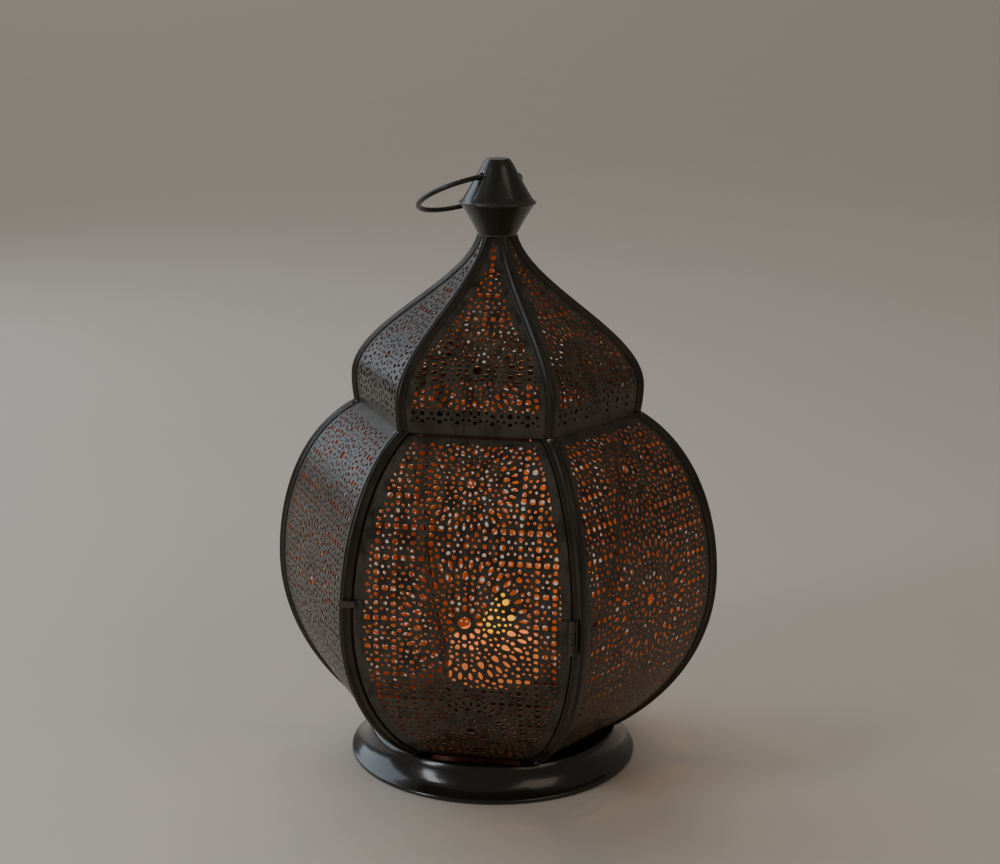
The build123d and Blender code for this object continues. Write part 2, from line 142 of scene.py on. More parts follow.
class Finish:
    """A procedural material under construction."""

    def __init__(self, name):
        self.material = bpy.data.materials.new(name)
        self.material.use_nodes = True
        self.tree = self.material.node_tree
        self.tree.nodes.clear()
        self.place = self.node("ShaderNodeTexCoord", output="Object")

    def node(self, kind, settings=None, inputs=None, output=0):
        """Add a node: its settings first, then the value or the link of each socket."""
        made = self.tree.nodes.new(kind)
        for name, value in (settings or {}).items():
            if name == "stops":
                self.set_stops(made.color_ramp, value)
            else:
                setattr(made, name, value)
        for name, value in (inputs or {}).items():
            if isinstance(value, Flow):
                self.tree.links.new(value.socket, made.inputs[name])
            else:
                made.inputs[name].default_value = value
        return Flow(self, made.outputs[output])

    def set_stops(self, ramp, stops):
        while len(ramp.elements) < len(stops):
            ramp.elements.new(0.5)
        for element, (position, colour) in zip(ramp.elements, stops):
            element.position = position
            element.color = (*colour, 1)

    def grain(self, size, detail=3.0, roughness=0.55, stretch=(1, 1, 1)):
        """Noise whose patches are about size metres across, 0 to 1."""
        scaled = self.node(
            "ShaderNodeVectorMath", {"operation": "MULTIPLY"}, {0: self.place, 1: stretch}
        )
        return self.node(
            "ShaderNodeTexNoise",
            {},
            {"Vector": scaled, "Scale": 1 / size, "Detail": detail, "Roughness": roughness},
            "Fac",
        )

    def blend(self, share, first, second):
        """A colour between two colours."""
        return self.node(
            "ShaderNodeMix", {"data_type": "RGBA"}, {0: share, 6: first, 7: second}, 2
        )

    def bumps(self, height, distance, strength=1.0, under=None):
        """A normal raised by a height, over another normal if one is given."""
        inputs = {"Height": height, "Distance": distance, "Strength": strength}
        if under:
            inputs["Normal"] = under
        return self.node("ShaderNodeBump", {}, inputs)

    def worn_edge(self, low=0.52, high=0.62):
        """1 on convex edges, 0 elsewhere."""
        return self.node("ShaderNodeNewGeometry", output="Pointiness").ease(low, high)

    def upward(self):
        """1 where the surface faces up, 0 where it is upright or faces down."""
        normal = self.node("ShaderNodeNewGeometry", output="Normal")
        height = self.node("ShaderNodeSeparateXYZ", {}, {0: normal}, 2)
        return height.ease(0.25, 0.95)

    def surface(self, **sockets):
        """The shader, its sockets named in lower case with underscores."""
        names = {key: key.replace("_", " ").title() for key in sockets}
        names.update({"ior": "IOR", "specular_ior_level": "Specular IOR Level"})
        return self.node(
            "ShaderNodeBsdfPrincipled", {}, {names[key]: value for key, value in sockets.items()}
        )

    def done(self, shader):
        """Join the shader to the material's output."""
        output = self.tree.nodes.new("ShaderNodeOutputMaterial")
        self.tree.links.new(shader.socket, output.inputs["Surface"])
        return self.material


def rgba(red, green, blue):
    """A solid colour for a colour socket."""
    return (red, green, blue, 1.0)


def black_enamel():
    """Semi-gloss black paint on thin sheet: faint brown cast, dust, orange peel, rubbed edges."""
    paint = Finish("black enamel")
    cloud = paint.grain(18 * MM, 4)
    smudge = paint.grain(6 * MM, 5, 0.65, (1, 1, 0.45))
    peel = paint.grain(0.9 * MM, 2)
    dust = paint.upward() * paint.grain(3 * MM, 4).ease(0.35, 0.8)
    base = paint.blend(cloud.ease(0.3, 0.75), rgba(0.0145, 0.0113, 0.007), rgba(0.031, 0.0242, 0.0148))
    rubbed = paint.worn_edge() * smudge.ease(0.35, 0.6)
    base = paint.blend(rubbed * 0.5, base, rgba(0.1, 0.086, 0.066))
    base = paint.blend(dust * 0.12, base, rgba(0.13, 0.115, 0.095))
    rough = 0.24 + cloud * 0.1 + smudge.ease(0.4, 0.75) * 0.12 + dust * 0.15
    relief = paint.bumps(peel, 0.05 * MM, 0.5, paint.bumps(cloud, 0.5 * MM, 0.35))
    return paint.done(
        paint.surface(base_color=base, roughness=rough, normal=relief, specular_ior_level=0.42)
    )


def gloss_black_enamel():
    """Deep gloss black on the spun foot and the finial, with fine turning lines and scuffs."""
    paint = Finish("gloss black enamel")
    cloud = paint.grain(22 * MM, 3)
    scuff = paint.grain(2.2 * MM, 6, 0.7, (1, 1, 2.5))
    lines = paint.node(
        "ShaderNodeTexWave",
        {"wave_type": "BANDS", "bands_direction": "Z"},
        {"Vector": paint.place, "Scale": 190.0, "Distortion": 1.2, "Detail": 2.0},
        "Fac",
    )
    base = paint.blend(cloud, rgba(0.008, 0.0068, 0.005), rgba(0.019, 0.0163, 0.012))
    rubbed = paint.worn_edge(0.53, 0.64) * scuff.ease(0.4, 0.6)
    base = paint.blend(rubbed * 0.5, base, rgba(0.17, 0.16, 0.15))
    height = paint.node("ShaderNodeSeparateXYZ", {}, {0: paint.place}, 2)
    rough = 0.16 + cloud * 0.1 + scuff.ease(0.55, 0.8) * 0.16 + height.ease(0.1, 0.2) * 0.14
    relief = paint.bumps(lines, 0.04 * MM, 0.25, paint.bumps(cloud, 0.8 * MM, 0.4))
    return paint.done(
        paint.surface(
            base_color=base, roughness=rough, normal=relief, coat_weight=0.35, coat_roughness=0.08
        )
    )


def cut_edge():
    """The walls of the pierced holes: thinly painted, catching light."""
    metal = Finish("cut edge")
    patch = metal.grain(1.5 * MM, 3)
    base = metal.blend(patch.ease(0.3, 0.7), rgba(0.12, 0.09, 0.065), rgba(0.55, 0.43, 0.33))
    rough = 0.28 + patch * 0.2
    return metal.done(metal.surface(base_color=base, roughness=rough, metallic=patch.ease(0.2, 0.5)))


def copper_paint():
    """Copper-coloured paint on the inside of the sheets, sooted in places."""
    paint = Finish("copper paint")
    soot = paint.grain(25 * MM, 5, 0.6)
    fleck = paint.grain(1.1 * MM, 2)
    base = paint.blend(soot.ease(0.45, 0.8), rgba(0.52, 0.185, 0.04), rgba(0.2, 0.068, 0.02))
    base = paint.blend(fleck.ease(0.55, 0.8) * 0.35, base, rgba(0.7, 0.33, 0.1))
    return paint.done(
        paint.surface(
            base_color=base,
            roughness=0.42 + soot * 0.25,
            metallic=0.35 + fleck * 0.25,
            normal=paint.bumps(fleck, 0.06 * MM, 0.4),
        )
    )


def black_wire():
    """Painted wire, worn lighter in patches all along it."""
    paint = Finish("black wire")
    patch = paint.grain(4 * MM, 4)
    drawn = paint.grain(0.7 * MM, 3)
    base = paint.blend(patch.ease(0.5, 0.8), rgba(0.009, 0.0085, 0.008), rgba(0.05, 0.043, 0.036))
    return paint.done(
        paint.surface(
            base_color=base, roughness=0.24 + patch * 0.2, normal=paint.bumps(drawn, 0.05 * MM, 0.4)
        )
    )


def rivet_steel():
    """Tarnished steel for the rivets and the hinge pin."""
    metal = Finish("rivet steel")
    patch = metal.grain(1.6 * MM, 4)
    tarnish = metal.blend(patch.ease(0.3, 0.8), rgba(0.19, 0.18, 0.17), rgba(0.09, 0.075, 0.06))
    return metal.done(
        metal.surface(
            base_color=tarnish,
            metallic=0.9,
            roughness=0.32 + patch * 0.25,
            normal=metal.bumps(patch, 0.08 * MM, 0.4),
        )
    )


def solder():
    """Bright solder, dulled and overpainted in patches."""
    metal = Finish("solder")
    patch = metal.grain(1.2 * MM, 4)
    base = metal.blend(patch.ease(0.42, 0.6), rgba(0.42, 0.4, 0.38), rgba(0.03, 0.028, 0.025))
    return metal.done(
        metal.surface(
            base_color=base,
            metallic=patch.ease(0.6, 0.4) * 0.9,
            roughness=0.3 + patch * 0.3,
            normal=metal.bumps(patch, 0.15 * MM, 0.6),
        )
    )


def candle_wax():
    """Warm wax with the flame's light on it painted in as an emissive glow, brightest near the pool."""
    wax = Finish("candle wax")
    height = wax.node("ShaderNodeSeparateXYZ", {}, {0: wax.place}, 2)
    low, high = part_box("candle_wax")
    # Painted light: the emission below stands in for the flame's light on the wax, brighter towards the
    # top.
    glow = height.ease(low.z, high.z)
    mottle = wax.grain(5 * MM, 4)
    base = wax.blend(mottle * 0.5, rgba(0.16, 0.055, 0.02), rgba(0.1, 0.03, 0.01))
    light = wax.blend(glow, rgba(0.62, 0.13, 0.03), rgba(1.0, 0.27, 0.06))
    return wax.done(
        wax.surface(
            base_color=base,
            roughness=0.42 + mottle * 0.16,
            emission_color=light,
            emission_strength=0.62,
            normal=wax.bumps(mottle, 0.5 * MM, 0.5),
            subsurface_weight=0.25,
            subsurface_radius=(0.006, 0.003, 0.0015),
        )
    )


def flame_light():
    """A candle flame: amber at the foot, near white in the middle, yellow at the tip."""
    flame = Finish("candle flame")
    height = flame.node("ShaderNodeSeparateXYZ", {}, {0: flame.place}, 2)
    share = height.ease(flame_foot, flame_tip)
    colour = flame.node(
        "ShaderNodeValToRGB",
        {"stops": [(0.0, (1.0, 0.3, 0.0)), (0.3, (1.0, 0.52, 0.0)), (1.0, (1.0, 0.44, 0.0))]},
        {"Fac": share},
    )
    return flame.done(
        flame.surface(
            base_color=rgba(0.02, 0.01, 0.0), roughness=0.9, emission_color=colour, emission_strength=1.4
        )
    )


def charred_wick():
    """Charred fibre, nearly black."""
    char = Finish("charred wick")
    fibre = char.grain(0.5 * MM, 3, 0.6, (1, 1, 0.4))
    base = char.blend(fibre, rgba(0.012, 0.01, 0.009), rgba(0.07, 0.055, 0.045))
    return char.done(
        char.surface(base_color=base, roughness=0.85 + fibre * 0.1, normal=char.bumps(fibre, 0.2 * MM, 0.8))
    )


def pale_floor():
    floor = Finish("pale floor")
    patch = floor.grain(400 * MM, 3)
    base = floor.blend(patch, rgba(0.64, 0.58, 0.5), rgba(0.7, 0.64, 0.56))
    return floor.done(floor.surface(base_color=base, roughness=0.55 + patch * 0.1))


# ---- Sheet lines: how each wall runs from bottom to top ----


def body_radius(height):
    """Corner radius of the body sheet."""
    if height < equator_height:
        end, span, fullness = body_bottom_radius, equator_height - foot_top, lower_fullness
    else:
        end, span, fullness = body_top_radius, body_top - equator_height, upper_fullness
    drop = 1 - (end / body_equator_radius) ** (1 / fullness)
    return body_equator_radius * (1 - drop * ((height - equator_height) / span) ** 2) ** fullness


def roof_radius(height):
    """Corner radius of the roof sheet: an ogee over a nearly upright skirt."""
    if height < roof_shoulder_height:
        down = (roof_shoulder_height - height) / (roof_shoulder_height - roof_bottom)
        return roof_shoulder_radius + (roof_eaves_radius - roof_shoulder_radius) * down**2
    fall = (roof_top - height) / (roof_top - roof_shoulder_height)
    wave = sin(pi / 2 * fall)
    share = (1 - ogee_bow) * wave * abs(wave) + ogee_bow * wave
    return roof_top_radius + (roof_shoulder_radius - roof_top_radius) * share


class WallLine:
    """A wall's outline, measured along the sheet: distance from the axis, height and slope."""

    stations = 400

    def __init__(self, radius_at, low, high, ratio=FLATNESS):
        self.rows = []
        along = 0.0
        for step in range(self.stations + 1):
            height = low + (high - low) * step / self.stations
            distance = ratio * radius_at(height)
            if self.rows:
                along += hypot(distance - self.rows[-1][1], height - self.rows[-1][2])
            self.rows.append((along, distance, height))
        self.length = along

    def at(self, along):
        """Distance, height and outward normal (away, up) at a length along the sheet."""
        low, high = 0, self.stations
        while high - low > 1:
            middle = (low + high) // 2
            if self.rows[middle][0] > along:
                high = middle
            else:
                low = middle
        start, end = self.rows[low], self.rows[high]
        share = (along - start[0]) / (end[0] - start[0])
        run = hypot(end[1] - start[1], end[2] - start[2])
        return (
            start[1] + (end[1] - start[1]) * share,
            start[2] + (end[2] - start[2]) * share,
            (end[2] - start[2]) / run,
            (start[1] - end[1]) / run,
        )

    def along(self, height):
        """Length along the sheet at a height."""
        for start, end in zip(self.rows, self.rows[1:]):
            if end[2] >= height:
                return start[0] + (end[0] - start[0]) * (height - start[2]) / (end[2] - start[2])
        return self.length


body_line = WallLine(body_radius, foot_top, body_top)
roof_line = WallLine(roof_radius, roof_bottom, roof_top)


# ---- Pierced lace: holes laid out on the flat sheet in millimetres, across and along ----

lattice_across = 16.4
lattice_along = 14.2
least_bridge = 0.75
punch_fit = 0.88
hole_points = 12


class Hole:
    """One pierced hole: a rounded, tapered outline turned to face a direction."""

    def __init__(self, across, along, length, width, turn=0.0, taper=0.0, power=2.0):
        self.centre = (across, along)
        self.reach = max(length, width) / 2
        self.waist = min(length, width) / 2
        self.points = []
        length, width = length * punch_fit, width * punch_fit
        for step in range(hole_points):
            angle = 2 * pi * step / hole_points
            x = abs(cos(angle)) ** (2 / power) * width / 2 * (1 if cos(angle) > 0 else -1)
            y = abs(sin(angle)) ** (2 / power) * length / 2 * (1 if sin(angle) > 0 else -1)
            x *= 1 + taper * y / (length / 2)
            self.points.append(
                (across + x * cos(turn) - y * sin(turn), along + x * sin(turn) + y * cos(turn))
            )

    def clear_of(self, across, along, radius):
        """True if a round hole here leaves a bridge of metal between the two."""
        if hypot(self.centre[0] - across, self.centre[1] - along) < self.waist + radius + least_bridge:
            return False
        return all(hypot(x - across, y - along) > radius + least_bridge for x, y in self.points)


# Each ring of a rosette: radius, count, first turn in degrees, length, width, taper, roundness.
rosette_rings = [
    (6.9, 12, 0, 3.2, 2.5, 0.3, 2.3),
    (11.1, 12, 0, 2.4, 2.2, -0.35, 2.4),
    (12.3, 12, 15, 3.0, 2.4, 0.25, 2.6),
    (16.0, 28, 0, 1.9, 1.6, -0.3, 2.2),
    (18.8, 18, 10, 1.7, 1.5, 0.2, 2.1),
    (22.0, 18, 0, 4.7, 3.2, -0.28, 2.1),
    (27.3, 36, 5, 5.2, 2.3, 0.1, 1.9),
]
rosette_reach = 30.6


def rosette(along, scale):
    """A round flower of holes about a point on the sheet's middle line."""
    holes = [Hole(0, along, 6.8 * scale, 6.8 * scale)]
    for radius, count, first, length, width, taper, power in rosette_rings:
        for place in range(count):
            turn = radians(first) + 2 * pi * place / count
            holes.append(
                Hole(
                    -radius * scale * sin(turn),
                    along + radius * scale * cos(turn),
                    length * scale,
                    width * scale,
                    turn,
                    taper,
                    power,
                )
            )
    return holes


def small_flower(across, along):
    """A round hole with eight smaller ones about it."""
    holes = [Hole(across, along, 3.1, 3.1)]
    for side in (-1, 1):
        holes.append(Hole(across, along + side * 3.95, 2.2, 2.1, 0, -0.45 * side, 2.5))
        holes.append(Hole(across + side * 3.85, along, 1.9, 2.0, 0, 0, 2.3))
        for rise in (-1, 1):
            holes.append(Hole(across + side * 2.75, along + rise * 2.75, 1.65, 1.65))
    return holes


def small_cross(across, along):
    """The filling between two small flowers."""
    holes = [Hole(across, along, 2.4, 2.4, 0, 0, 2.6)]
    for side in (-1, 1):
        holes.append(Hole(across, along + side * 3.8, 2.2, 2.3, 0, 0.3 * side, 2.6))
        holes.append(Hole(across + side * 2.5, along + 2.6, 1.6, 1.6))
        holes.append(Hole(across + side * 2.5, along - 2.6, 1.6, 1.6))
    return holes


def lace(first_along, length, half_width, rosettes, fits):
    """Rows of squares and small flowers, rosettes over them, and small dots in what is left."""
    holes = []
    for along, scale in rosettes:
        holes += rosette(along, scale)
    background = []
    rows = ceil(length / lattice_along) + 1
    for row in range(-rows, rows):
        along = first_along + row * lattice_along
        squares = ceil(4 * half_width / lattice_across)
        for place in range(-squares, squares + 1):
            background.append(Hole(place * lattice_across / 4, along, 2.9, 2.95, 0, 0, 3.4))
        middle = along + lattice_along / 2
        shift = (row % 2) * lattice_across / 2
        flowers = ceil(half_width / lattice_across) + 1
        for place in range(-flowers, flowers + 1):
            across = place * lattice_across + shift
            background += small_flower(across, middle)
            background += small_cross(across + lattice_across / 2, middle)
    for hole in background:
        across, along = hole.centre
        clear = (
            hypot(across, along - centre) > rosette_reach * scale + hole.reach for centre, scale in rosettes
        )
        if all(clear):
            holes.append(hole)
    holes = [hole for hole in holes if fits(*hole.centre, hole.reach)]
    return holes + fill_dots(holes, length, half_width, fits)


def fill_dots(holes, length, half_width, fits):
    """Small round holes wherever the pattern leaves room for one."""
    cell = 6.0
    near = {}

    def remember(hole):
        near.setdefault((hole.centre[0] // cell, hole.centre[1] // cell), []).append(hole)

    for hole in holes:
        remember(hole)
    dots = []
    step = 0.6
    for radius in (1.15, 0.9, 0.72):
        for row in range(int(length / step)):
            for place in range(int(half_width / step), -int(half_width / step) - 1, -1):
                across, along = place * step, row * step
                if not fits(across, along, radius):
                    continue
                column, line = across // cell, along // cell
                around = [
                    hole
                    for x in (column - 1, column, column + 1)
                    for y in (line - 1, line, line + 1)
                    for hole in near.get((x, y), [])
                ]
                if all(hole.clear_of(across, along, radius) for hole in around):
                    dots.append(Hole(across, along, 2 * radius, 2 * radius))
                    remember(dots[-1])
    return dots


# ---- Mesh helpers ----


def stand(name, data):
    """An object in the scene for a mesh, a light or a camera."""
    made = bpy.data.objects.new(name, data)
    bpy.context.scene.collection.objects.link(made)
    return made


def new_piece(name, mesh, body, *materials):
    """An object for a mesh, with its finishes, that rides on a body."""
    piece = stand(name, mesh)
    for material in materials:
        mesh.materials.append(material)
    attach(piece, body)
    return piece


def place_copies(mesh, turns, piece_name, node_name):
    """One piece for each named turn about the axis, sharing a mesh, each standing for its CAD node."""
    for place, turn in turns.items():
        piece = stand(piece_name.format(place), mesh)
        piece.rotation_euler.z = turn
        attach(piece, "lantern")
        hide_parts(node_name.format(place))


def pierced_sheet(name, line, low_along, high_along, left_inset, right_inset, holes):
    """A mesh of a curved sheet with every hole cut through it, its middle facing -Y.

    Slot 0 is the outside, slot 1 the inside and slot 2 the cut edges.
    """
    outline = []
    rows = max(8, int((high_along - low_along) / (2.2 * MM)))
    for row in range(rows + 1):
        along = low_along + (high_along - low_along) * row / rows
        half = line.at(along)[0] * tan(HALF_TURN)
        outline.append((half - right_inset, along))
    for row in range(rows, -1, -1):
        along = low_along + (high_along - low_along) * row / rows
        half = line.at(along)[0] * tan(HALF_TURN)
        outline.append((left_inset - half, along))
    across_steps = 10
    right, left = outline[rows], outline[rows + 1]
    top = [
        (right[0] + (left[0] - right[0]) * step / across_steps, right[1]) for step in range(1, across_steps)
    ]
    right, left = outline[0], outline[-1]
    bottom = [
        (left[0] + (right[0] - left[0]) * step / across_steps, left[1]) for step in range(1, across_steps)
    ]
    loops = [outline[: rows + 1] + top + outline[rows + 1 :] + bottom]
    loops += [[(x * MM, y * MM) for x, y in hole.points] for hole in holes]
    points, edges, owner = [], [], []
    for number, loop in enumerate(loops):
        start = len(points)
        points += [Vector(point) for point in loop]
        owner += [number] * len(loop)
        edges += [(start + i, start + (i + 1) % len(loop)) for i in range(len(loop))]
    flat, _, triangles, origin, _, _ = delaunay_2d_cdt(points, edges, [], 1, 1e-9)
    owners = [owner[source[0]] if source else -1 for source in origin]

    def is_hole(triangle):
        kinds = {owners[i] for i in triangle}
        return len(kinds) == 1 and kinds.pop() > 0

    triangles = [triangle for triangle in triangles if not is_hole(triangle)]
    outer, inner, normals = [], [], []
    for point in flat:
        distance, height, away, up = line.at(point.y)
        normal = Vector((0, -away, up))
        place = Vector((point.x, -distance, height))
        outer.append(place)
        if min(abs(point.y - low_along), abs(point.y - high_along)) < 0.01 * MM:
            inner.append(place + Vector((0, sheet / away, 0)))
        else:
            inner.append(place - normal * sheet)
        normals.append(normal)
    count = len(flat)
    faces = [tuple(triangle) for triangle in triangles]
    slots = [0] * len(faces)
    sides = {
        (a, b): True for triangle in triangles for a, b in zip(triangle, (*triangle[1:], triangle[0]))
    }
    rims = [(a, b) for a, b in sides if (b, a) not in sides]
    faces += [tuple(count + i for i in reversed(triangle)) for triangle in triangles]
    slots += [1] * len(triangles)
    faces += [(b, a, count + a, count + b) for a, b in rims]
    slots += [2] * len(rims)
    mesh = bpy.data.meshes.new(name)
    mesh.from_pydata([*outer, *inner], [], faces)
    mesh.polygons.foreach_set("material_index", slots)
    mesh.update()
    mesh.polygons.foreach_set("use_smooth", [True] * len(faces))
    split = []
    for polygon in mesh.polygons:
        for vertex in polygon.vertices:
            if polygon.material_index == 0:
                split.append(normals[vertex])
            elif polygon.material_index == 1:
                split.append(-normals[vertex - count])
            else:
                split.append(polygon.normal.copy())
    mesh.normals_split_custom_set(split)
    return mesh


def turned(profile, segments, name, wobble=0.0, seed=0):
    """A lathe-turned mesh from (radius, height) points, closed at the axis where the radius is 0."""
    made = bmesh.new()
    rings = []
    for radius, height in profile:
        if radius < 1e-7:
            rings.append([made.verts.new((0, 0, height))])
            continue
        ring = []
        for step in range(segments):
            angle = 2 * pi * step / segments
            swell = 1.0
            if wobble:
                swell += wobble * noise.noise(Vector((cos(angle) * 2, sin(angle) * 2, height * 90 + seed)))
            ring.append(made.verts.new((radius * swell * cos(angle), radius * swell * sin(angle), height)))
        rings.append(ring)
    for lower, upper in zip(rings, rings[1:]):
        for step in range(segments):
            after = (step + 1) % segments
            if len(lower) == 1 and len(upper) == 1:
                continue
            if len(lower) == 1:
                made.faces.new((lower[0], upper[after], upper[step]))
            elif len(upper) == 1:
                made.faces.new((lower[step], lower[after], upper[0]))
            else:
                made.faces.new((lower[step], lower[after], upper[after], upper[step]))
    bmesh.ops.recalc_face_normals(made, faces=made.faces)
    mesh = bpy.data.meshes.new(name)
    made.to_mesh(mesh)
    made.free()
    soften(mesh)
    return mesh


def soften(mesh, angle=35):
    """Smooth shading, with creases where faces meet sharply."""
    mesh.polygons.foreach_set("use_smooth", [True] * len(mesh.polygons))
    mesh.set_sharp_from_angle(angle=radians(angle))


def arc(centre, radius, start, end, steps):
    """Points of an arc in (radius, height), degrees from straight out."""
    return [
        (
            centre[0] + radius * cos(radians(start + (end - start) * step / steps)),
            centre[1] + radius * sin(radians(start + (end - start) * step / steps)),
        )
        for step in range(steps + 1)
    ]


def round_section(centre, side, up, radius, count):
    """Points of a round section about a centre."""
    turns = (2 * pi * step / count for step in range(count))
    return [centre + (side * cos(turn) + up * sin(turn)) * radius for turn in turns]


def swept(sections, name, closed=False):
    """A mesh skinned over a list of closed sections with equal counts, capped unless closed."""
    made = bmesh.new()
    rings = [[made.verts.new(point) for point in section] for section in sections]
    count = len(rings[0])
    pairs = list(zip(rings, rings[1:]))
    if closed:
        pairs.append((rings[-1], rings[0]))
    for lower, upper in pairs:
        for step in range(count):
            after = (step + 1) % count
            made.faces.new((lower[step], lower[after], upper[after], upper[step]))
    if not closed:
        made.faces.new(list(reversed(rings[0])))
        made.faces.new(rings[-1])
    bmesh.ops.recalc_face_normals(made, faces=made.faces)
    mesh = bpy.data.meshes.new(name)
    made.to_mesh(mesh)
    made.free()
    return mesh


# ---- Sheets ----

enamel = black_enamel()
gloss = gloss_black_enamel()
edge_metal = cut_edge()
copper = copper_paint()
sheet_finishes = (enamel, copper, edge_metal)
wire = black_wire()
steel = rivet_steel()
tin = solder()

# ---- the lace's place on each sheet, in millimetres ----
body_margin = 6.3
body_end_margin = 4.5
body_foot_margin = 7.5
door_left_margin = 9.4
door_right_margin = 8.2
door_shift = 1.5
main_rosette_along = 99.2
small_rosette_scale = 0.735
roof_rosette_along = 30.0
roof_end_margin = 3.6
body_length = body_line.length / MM
roof_length = roof_line.length / MM


def fits_between(left_margin, right_margin, shift=0.0):
    """A test that a hole, once shifted across, keeps a plain border round a body sheet or the door."""

    def fits(across, along, reach):
        if not body_foot_margin + reach < along < body_length - body_end_margin - reach:
            return False
        half = body_line.at(along * MM)[0] * tan(HALF_TURN) / MM
        place = across + shift
        return left_margin - half < place - reach and place + reach < half - right_margin

    return fits


def fits_roof(across, along, reach):
    """True if a hole here keeps a plain border round the roof sheet."""
    for (low, narrow), (high, wide) in zip(roof_field, roof_field[1:]):
        if max(low, roof_end_margin + reach) < along <= high:
            return abs(across) + reach < narrow + (wide - narrow) * (along - low) / (high - low)
    return False


# The pierced part of the roof sheet: height along it, and half its width there.
roof_field = [(0, 30), (12, 30.5), (30, 28), (60, 12.6), (75, 6.6), (88, 3.2), (98, 2.0)]


body_rosettes = [
    (main_rosette_along, 1.0),
    (main_rosette_along + 4.5 * lattice_along, small_rosette_scale),
    (main_rosette_along - 4.5 * lattice_along, small_rosette_scale),
]
fits_body = fits_between(body_margin, body_margin)
fits_door = fits_between(door_left_margin, door_right_margin, door_shift)
body_lace = lace(main_rosette_along, body_length, body_length / 3, body_rosettes, fits_body)
door_lace = lace(main_rosette_along, body_length, body_length / 3, body_rosettes, fits_door)
for hole in door_lace:
    hole.points = [(x + door_shift, y) for x, y in hole.points]
roof_rosettes = [(roof_rosette_along, small_rosette_scale)]
roof_lace = lace(roof_rosette_along, roof_length, roof_length / 2.5, roof_rosettes, fits_roof)


def add_sheets():
    """The five fixed body sheets, the door and the six roof sheets."""
    fixed = pierced_sheet("body sheet", body_line, 0, body_line.length, seam, seam, body_lace)
    roof = pierced_sheet("roof sheet", roof_line, 0, roof_line.length, seam, seam, roof_lace)
    for mesh in (fixed, roof):
        for material in sheet_finishes:
            mesh.materials.append(material)
    place_copies(fixed, panel_turns, "body_sheet_{}", "body_panel_{}")
    place_copies(roof, {"front": 0, **panel_turns}, "roof_sheet_{}", "roof_panel_{}")
    door = pierced_sheet(
        "door sheet",
        body_line,
        body_line.along(door_low),
        body_line.along(door_high),
        door_left_inset,
        door_right_inset,
        door_lace,
    )
    piece = new_piece("door_sheet", door, "door", *sheet_finishes)
    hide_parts("door_panel")


# ---- Ribs ----


def rib_mesh(radius_at, low, high, flange, name):
    """A folded strip over a corner: two flanges and a rounded, grooved nose between them."""
    corner = WallLine(radius_at, low, high, 1.0)
    wall = WallLine(radius_at, low, high)
    steps = 110
    sections = []
    for step in range(steps + 1):
        height = low + (high - low) * step / steps
        radius, _, away, up = corner.at(corner.along(height))
        corner_point = Vector((0, -radius, height))
        corner_normal = Vector((0, -away, up))
        _, _, wall_away, wall_up = wall.at(wall.along(height))
        section = []
        for side in (-1, 1):
            turn = side * HALF_TURN
            wall_normal = Vector((sin(turn) * wall_away, -cos(turn) * wall_away, wall_up))
            run = Vector((side * cos(HALF_TURN), sin(HALF_TURN), 0))
            outer = corner_point + wall_normal * rib_sheet
            edge = [
                corner_point + run * flange,
                corner_point + run * flange + wall_normal * rib_sheet * 0.7,
                corner_point + run * (flange - 0.25 * MM) + wall_normal * rib_sheet,
                outer + run * (nose_half * 1.45),
            ]
            nose = [
                corner_point + Vector((side * nose_half, 0, 0)) + corner_normal * (nose_rise * 0.62),
                corner_point + Vector((side * nose_half * 0.86, 0, 0)) + corner_normal * (nose_rise * 0.93),
                corner_point + Vector((side * nose_half * 0.55, 0, 0)) + corner_normal * nose_rise,
                corner_point + Vector((side * nose_half * 0.18, 0, 0)) + corner_normal * (nose_rise * 0.8),
            ]
            section.append(edge + nose)
        left, right = section
        back = [corner_point]
        sections.append(left + list(reversed(right)) + back)
    mesh = swept(sections, name)
    soften(mesh, 28)
    return mesh


def add_ribs():
    """Six ribs on the body and six on the roof, one at each corner."""
    body_rib = rib_mesh(body_radius, foot_top, body_top, body_flange, "body rib")
    roof_rib = rib_mesh(roof_radius, roof_bottom, roof_top, roof_flange, "roof rib")
    for kind, mesh in (("body", body_rib), ("roof", roof_rib)):
        mesh.materials.append(enamel)
        place_copies(mesh, corner_turns, kind + "_fold_{}", kind + "_rib_{}")


# ---- Foot, finial and ring ----


def add_foot():
    """The spun foot: rolled lip, hollow flare and the ledge the body stands on."""
    overhang = 2.6 * MM
    ledge_width = 18.0 * MM
    shoulder_round = 1.4 * MM
    top_radius = body_bottom_radius + overhang
    ledge = top_radius - ledge_width
    skin = 1.2 * MM
    lip = 1.25 * MM
    lip_centre = (foot_radius - lip, lip)
    flare = 5.5 * MM
    start = (foot_radius - 1.3 * MM, 2.6 * MM)
    end = (top_radius, foot_top)
    outside = []
    steps = 18
    for step in range(steps + 1):
        share = step / steps
        across = start[0] + (end[0] - start[0]) * share
        up = start[1] + (end[1] - start[1]) * share
        sag = flare * 0.42 * sin(pi * share) * (1 - 0.35 * share)
        outside.append((across - sag * 0.75, up - sag * 0.5))
    shoulder = arc((top_radius - shoulder_round, foot_top - shoulder_round), shoulder_round, 35, 90, 5)
    profile = arc(lip_centre, lip, -150, 60, 12) + outside[1:-2] + shoulder
    profile += [(ledge + 0.3 * MM, foot_top), (ledge, foot_top - 0.3 * MM), (ledge, foot_top - skin)]
    inside = [(across - skin * 0.9, up - skin * 0.55) for across, up in reversed(outside[2:-2])]
    profile += [(top_radius - 3.2 * MM, foot_top - skin)] + inside
    profile.append(profile[0])
    foot = turned(profile, 192, "foot")
    piece = new_piece("spun_foot", foot, "lantern", gloss)
    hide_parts("base_foot")


